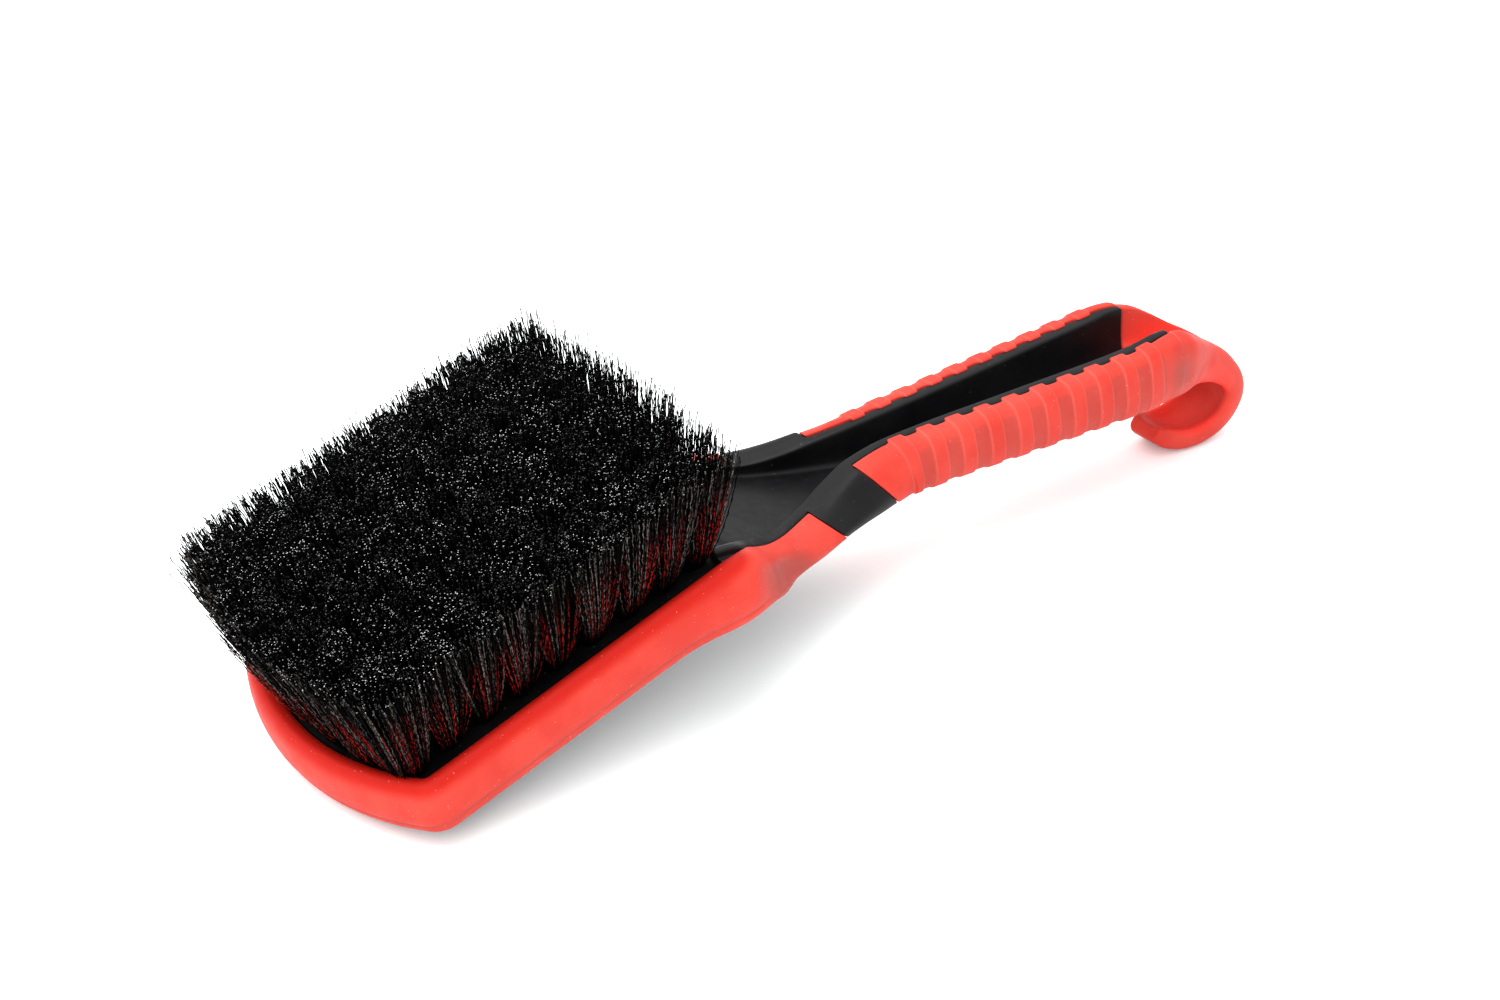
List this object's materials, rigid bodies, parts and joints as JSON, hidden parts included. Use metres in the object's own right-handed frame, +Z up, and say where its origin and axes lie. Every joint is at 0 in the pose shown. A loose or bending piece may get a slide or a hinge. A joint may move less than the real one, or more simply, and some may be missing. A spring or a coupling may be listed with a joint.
{
  "type": "wheel brush",
  "caption": "Hand brush for vehicle wheels: a raked head with upright bristles in a soft bumper, an open channel handle with a ribbed grip, and a curled hook end.",
  "frame": {"origin": "middle of the box around the brush, on the surface it rests on", "axes": "+X from the head to the hook, along the handle; +Y across; +Z up, the way the bristles point"},
  "size_m": [0.2857, 0.0838, 0.0705],
  "materials": {
    "black_plastic": "fine satin texture, moulded through",
    "red_rubber": "soft satin overmould, darker where it is thin",
    "bristle": "crimped synthetic filament, slightly glossy"
  },
  "bodies": {
    "root": {"core_frame": "black_plastic", "head_bumper": "red_rubber", "handle_grip": "red_rubber", "bristle_block": "black_plastic", "tuft_row_1": "bristle", "tuft_row_2": "bristle", "tuft_row_3": "bristle", "tuft_row_4": "bristle", "tuft_row_5": "bristle", "tuft_row_6": "bristle", "tuft_row_7": "bristle", "tuft_row_8": "bristle", "tuft_row_9": "bristle"}
  },
  "joints": []
}
